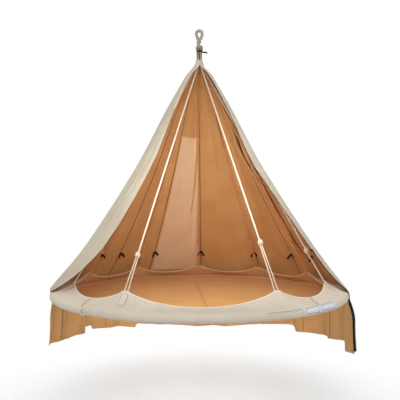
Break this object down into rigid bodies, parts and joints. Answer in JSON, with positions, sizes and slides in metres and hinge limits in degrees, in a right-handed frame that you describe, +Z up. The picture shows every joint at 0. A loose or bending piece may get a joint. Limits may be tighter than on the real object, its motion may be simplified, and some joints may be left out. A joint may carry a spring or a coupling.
{
  "type": "hanging bed",
  "caption": "Round hanging bed: a hooped canvas tray with a split pad, slung on ropes from one rope eye, under a cone of cloth that opens at the front.",
  "frame": {"origin": "where a hook bears in the rope eye", "axes": "+Z up, the open front faces -Y, +X to the right of someone looking in"},
  "size_m": [1.918, 1.8173, 2.1837],
  "materials": {
    "cover_canvas": "matte cream cotton canvas, tan where its inner side is seen",
    "rim_canvas": "matte cream canvas with light piping",
    "lining_canvas": "matte tan canvas",
    "pad_cloth": "matte tan cloth over foam",
    "cotton_rope": "matte twisted rope",
    "weathered_rope": "matte grey-beige rope",
    "black_webbing": "matte black tape",
    "hoop_aluminium": "satin drawn tube",
    "spring_steel": "satin steel",
    "zip_metal": "dark coated metal"
  },
  "bodies": {
    "bed": {"cover_collar": "cover_canvas", "cover_gore_1": "cover_canvas", "cover_gore_2": "cover_canvas", "cover_gore_3": "cover_canvas", "cover_gore_4": "cover_canvas", "cover_gore_5": "cover_canvas", "cover_gore_6": "cover_canvas", "cover_gore_7": "cover_canvas", "cover_gore_8": "cover_canvas", "cover_gore_9": "cover_canvas", "rim_panel_1": "rim_canvas", "rim_panel_2": "rim_canvas", "rim_panel_3": "rim_canvas", "rim_panel_4": "rim_canvas", "rim_panel_5": "rim_canvas", "rim_panel_6": "rim_canvas", "rim_panel_7": "rim_canvas", "rim_panel_8": "rim_canvas", "rim_panel_9": "rim_canvas", "blank_tag": "rim_canvas", "closure_patch_1": "rim_canvas", "closure_patch_2": "rim_canvas", "inner_wall": "lining_canvas", "base_canvas": "lining_canvas", "window_panel": "lining_canvas", "pad_left": "pad_cloth", "pad_right": "pad_cloth", "rope_1": "cotton_rope", "rope_2": "cotton_rope", "rope_3": "cotton_rope", "rope_4": "cotton_rope", "rope_5": "cotton_rope", "rope_6": "cotton_rope", "rope_7": "cotton_rope", "rope_8": "cotton_rope", "rope_9": "cotton_rope", "crown_whipping": "weathered_rope", "hanging_eye": "weathered_rope", "crown_strap": "black_webbing", "zip_tape_left": "black_webbing", "zip_tape_right": "black_webbing", "cover_tie_1": "black_webbing", "cover_tie_2": "black_webbing", "cover_tie_3": "black_webbing", "cover_tie_4": "black_webbing", "cover_tie_5": "black_webbing", "cover_tie_6": "black_webbing", "cover_tie_7": "black_webbing", "hoop_tube_1": "hoop_aluminium", "hoop_tube_2": "hoop_aluminium", "hoop_tube_3": "hoop_aluminium", "hoop_tube_4": "hoop_aluminium", "hoop_tube_5": "hoop_aluminium"},
    "snap_button_1": {"snap_button_1": "spring_steel"},
    "snap_button_2": {"snap_button_2": "spring_steel"},
    "snap_button_3": {"snap_button_3": "spring_steel"},
    "snap_button_4": {"snap_button_4": "spring_steel"},
    "snap_button_5": {"snap_button_5": "spring_steel"},
    "zip_slider": {"zip_slider": "zip_metal"},
    "zip_pull": {"zip_pull": "zip_metal"}
  },
  "joints": [
    {"name": "snap_button_1_press", "type": "slide", "parent": "bed", "child": "snap_button_1", "axis": [0.3328, 0.943, 0], "range_m": [0, 0.004], "stiffness_N_per_m": 400, "springref_m": -0.003},
    {"name": "snap_button_2_press", "type": "slide", "parent": "bed", "child": "snap_button_2", "axis": [0.9997, -0.0251, 0], "range_m": [0, 0.004], "stiffness_N_per_m": 400, "springref_m": -0.003},
    {"name": "snap_button_3_press", "type": "slide", "parent": "bed", "child": "snap_button_3", "axis": [0.2851, -0.9585, 0], "range_m": [0, 0.004], "stiffness_N_per_m": 400, "springref_m": -0.003},
    {"name": "snap_button_4_press", "type": "slide", "parent": "bed", "child": "snap_button_4", "axis": [-0.8235, -0.5673, 0], "range_m": [0, 0.004], "stiffness_N_per_m": 400, "springref_m": -0.003},
    {"name": "snap_button_5_press", "type": "slide", "parent": "bed", "child": "snap_button_5", "axis": [-0.794, 0.6079, 0], "range_m": [0, 0.004], "stiffness_N_per_m": 400, "springref_m": -0.003},
    {"name": "zip_slider_travel", "type": "slide", "parent": "bed", "child": "zip_slider", "axis": [-0.5318, 0.1118, 0.8395], "range_m": [-0.012, 0.54]},
    {"name": "zip_pull_swing", "type": "hinge", "parent": "zip_slider", "child": "zip_pull", "pos_m": [0.6319, -0.3586, -1.46112], "axis": [-0.4625, -0.8687, -0.1773], "range_deg": [0, 150]}
  ]
}
